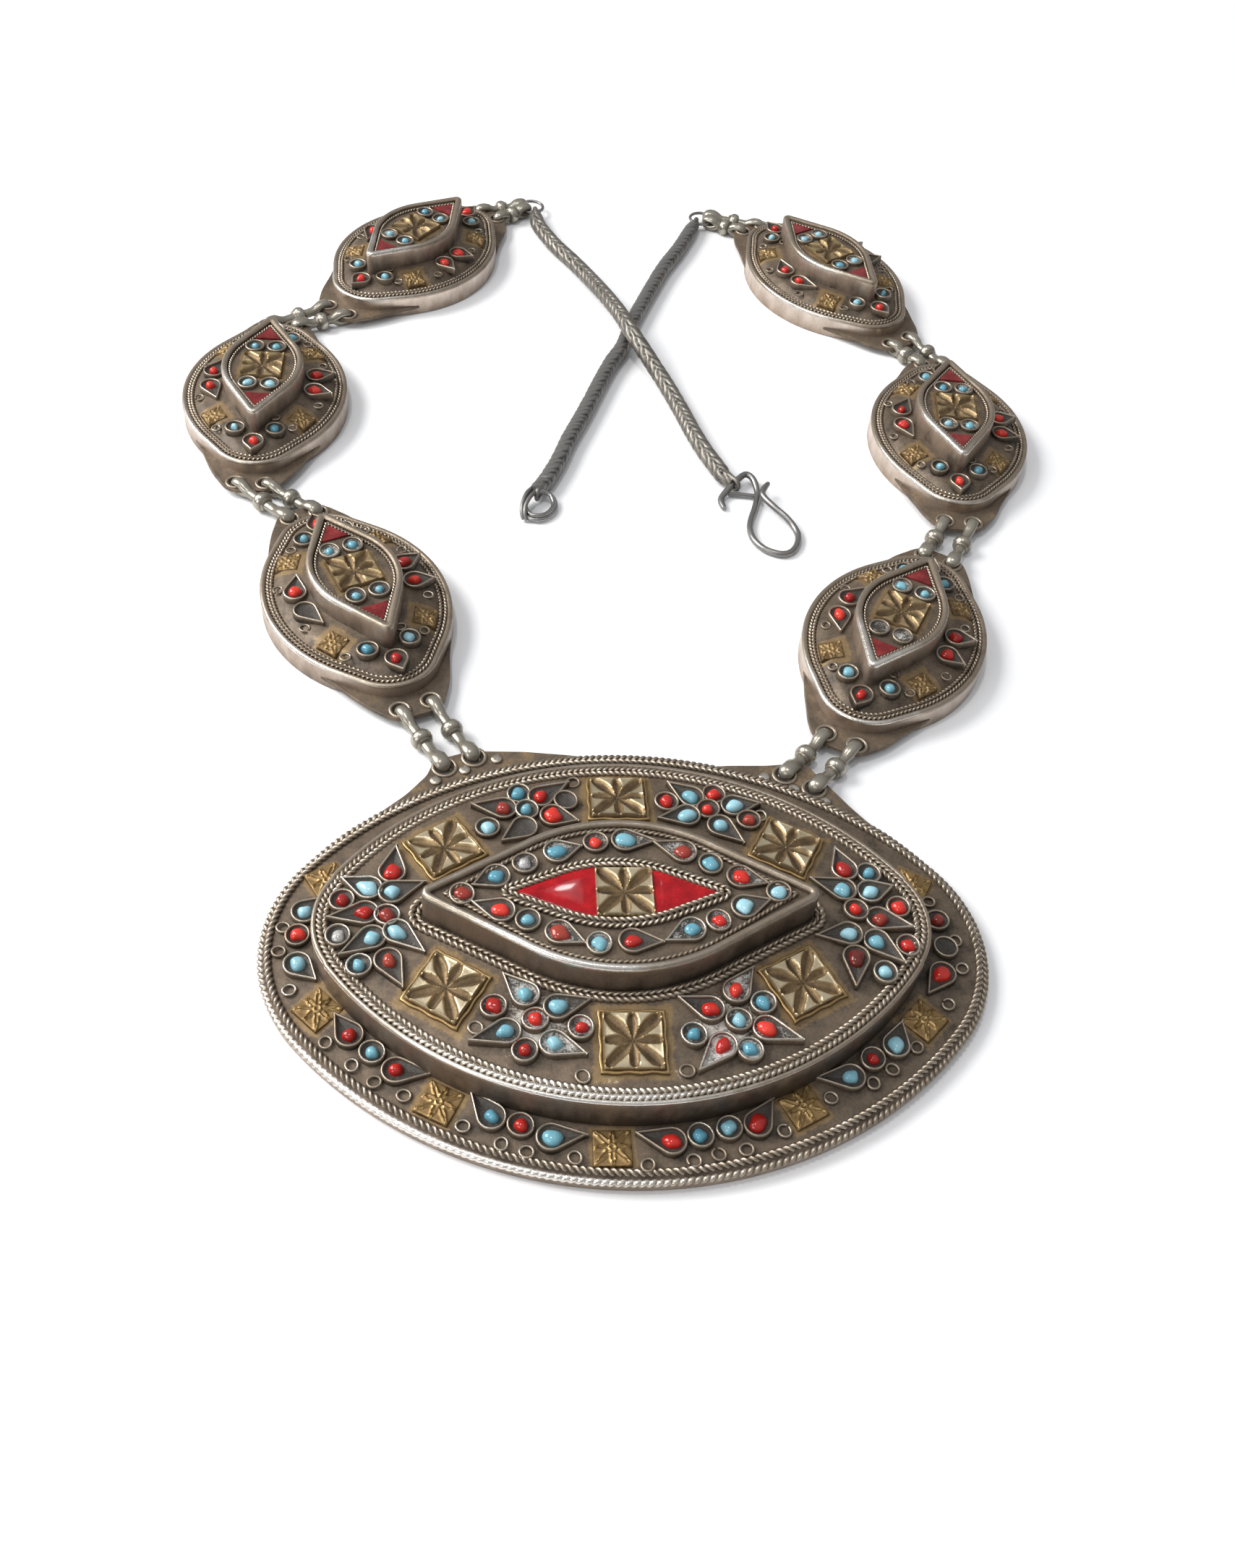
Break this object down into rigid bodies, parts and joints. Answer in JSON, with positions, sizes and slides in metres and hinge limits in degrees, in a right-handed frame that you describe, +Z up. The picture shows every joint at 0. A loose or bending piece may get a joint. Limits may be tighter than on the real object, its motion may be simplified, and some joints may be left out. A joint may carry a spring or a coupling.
{
  "type": "necklace",
  "caption": "Stepped silver pendant with six stepped plaques on wire links, coral, turquoise and gilt squares, and two woven chains closed by a hook and eye",
  "frame": {"origin": "middle of the pendant's flat back", "axes": "+Z up out of the table through the pendant's face, +Y from the pendant towards the clasp, +X to the right as seen from the pendant's side"},
  "size_m": [0.1844, 0.2747, 0.0173],
  "materials": {
    "silver": "oxidised silver, brown-grey, worn bright on the edges",
    "bright_wire": "rubbed silver wire",
    "gilt": "worn gold wash on stamped foil",
    "turquoise": "glossy pale blue cabochons",
    "coral": "glossy coral red cabochons",
    "garnet": "dark brownish red cabochons",
    "red_glass": "flat dark red glass on foil"
  },
  "bodies": {
    "root": {"pendant_body": "silver", "pendant_turquoise": "turquoise", "pendant_coral": "coral", "pendant_garnet": "garnet", "pendant_glass": "red_glass", "pendant_gilt": "gilt", "plaque_l1_body": "silver", "plaque_l2_body": "silver", "plaque_l3_body": "silver", "plaque_r1_body": "silver", "plaque_r2_body": "silver", "plaque_r3_body": "silver", "plaque_l1_turquoise": "turquoise", "plaque_l2_turquoise": "turquoise", "plaque_l3_turquoise": "turquoise", "plaque_r1_turquoise": "turquoise", "plaque_r2_turquoise": "turquoise", "plaque_r3_turquoise": "turquoise", "plaque_l1_coral": "coral", "plaque_l2_coral": "coral", "plaque_l3_coral": "coral", "plaque_r1_coral": "coral", "plaque_r2_coral": "coral", "plaque_r3_coral": "coral", "plaque_l1_glass": "red_glass", "plaque_l2_glass": "red_glass", "plaque_l3_glass": "red_glass", "plaque_r1_glass": "red_glass", "plaque_r2_glass": "red_glass", "plaque_r3_glass": "red_glass", "link_l1_a": "bright_wire", "link_l1_b": "bright_wire", "link_l2_a": "bright_wire", "link_l2_b": "bright_wire", "link_l3_a": "bright_wire", "link_l3_b": "bright_wire", "link_l4_a": "bright_wire", "link_l4_b": "bright_wire", "link_r1_a": "bright_wire", "link_r1_b": "bright_wire", "link_r2_a": "bright_wire", "link_r2_b": "bright_wire", "link_r3_a": "bright_wire", "link_r3_b": "bright_wire", "link_r4_a": "bright_wire", "link_r4_b": "bright_wire", "end_ring_left": "silver", "end_ring_right": "silver", "chain_left": "silver", "chain_right": "silver", "hook": "silver", "eye_ring": "silver"}
  },
  "joints": []
}
